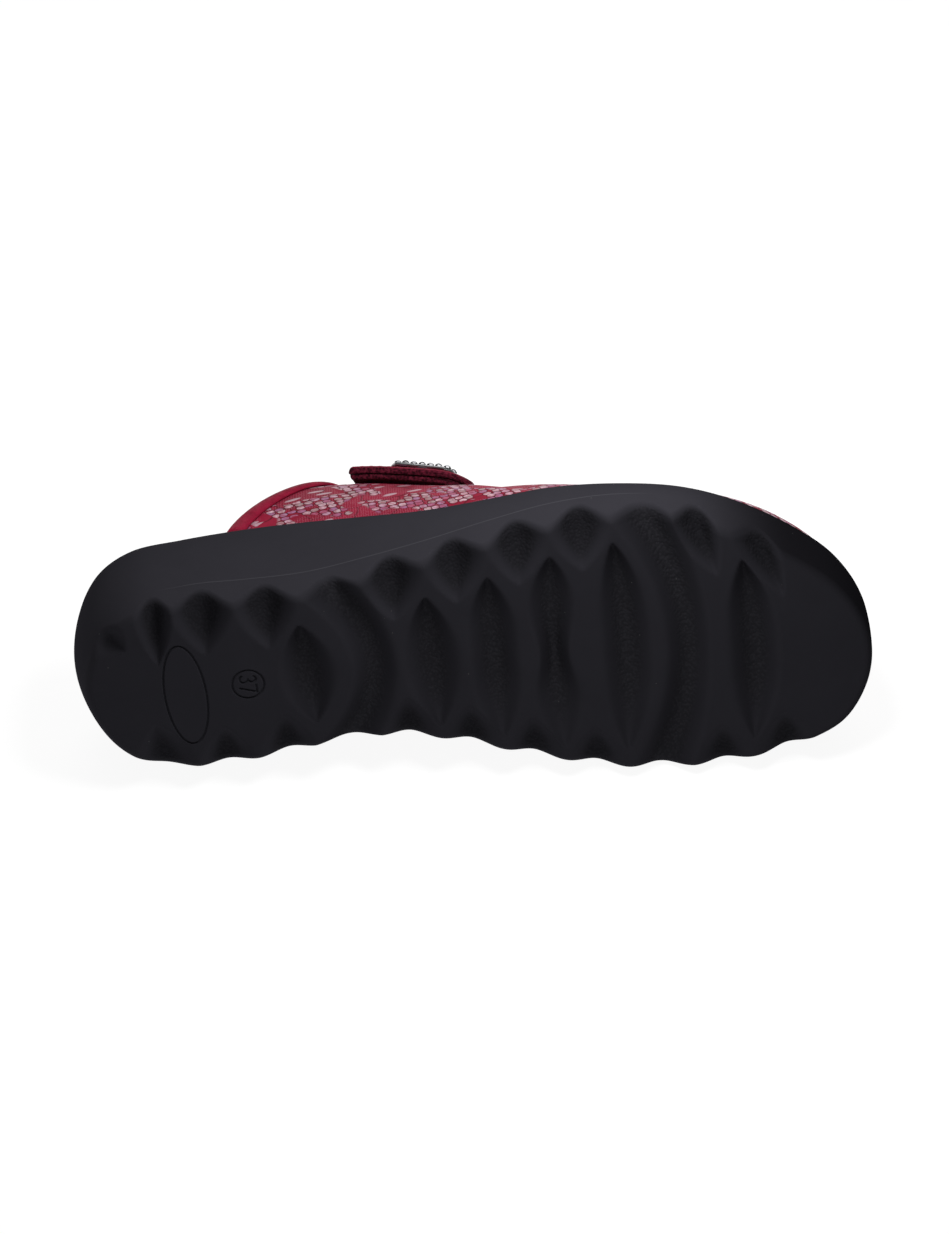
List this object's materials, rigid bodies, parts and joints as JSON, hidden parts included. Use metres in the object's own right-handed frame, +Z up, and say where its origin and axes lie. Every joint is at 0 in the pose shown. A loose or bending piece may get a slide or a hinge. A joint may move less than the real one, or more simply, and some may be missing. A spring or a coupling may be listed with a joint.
{
  "type": "slip-on clog",
  "caption": "Right-foot slip-on clog lying on its side: thick black wave-tread sole, hollow red printed leather upper, bound collar, hook-and-loop instep strap and a jewelled ornament.",
  "frame": {"origin": "centre of the box around the lying shoe, on the floor", "axes": "+X from heel to toe along the floor, -Y the way the tread faces, +Z up towards the lateral side"},
  "size_m": [0.2544, 0.105, 0.0933],
  "materials": {
    "sole_foam": "satin",
    "insole_leather": "matte",
    "printed_leather": "satin",
    "binding_leather": "satin",
    "strap_leather": "satin",
    "hook_tape": "matte",
    "silver_plate": "polished",
    "cut_glass": "polished"
  },
  "bodies": {
    "root": {"outsole": "sole_foam", "insole": "insole_leather", "upper": "printed_leather", "collar_binding": "binding_leather", "strap": "strap_leather", "strap_hook_pad": "hook_tape", "ornament_plate": "silver_plate", "ornament_stone_01": "cut_glass", "ornament_stone_02": "cut_glass", "ornament_stone_03": "cut_glass", "ornament_stone_04": "cut_glass", "ornament_stone_05": "cut_glass", "ornament_stone_06": "cut_glass", "ornament_stone_07": "cut_glass", "ornament_stone_08": "cut_glass", "ornament_stone_09": "cut_glass", "ornament_stone_10": "cut_glass", "ornament_stone_11": "cut_glass", "ornament_stone_12": "cut_glass", "ornament_stone_13": "cut_glass", "ornament_stone_14": "cut_glass", "ornament_stone_15": "cut_glass", "ornament_stone_16": "cut_glass", "ornament_stone_17": "cut_glass", "ornament_stone_18": "cut_glass", "ornament_stone_19": "cut_glass", "ornament_stone_20": "cut_glass"}
  },
  "joints": []
}
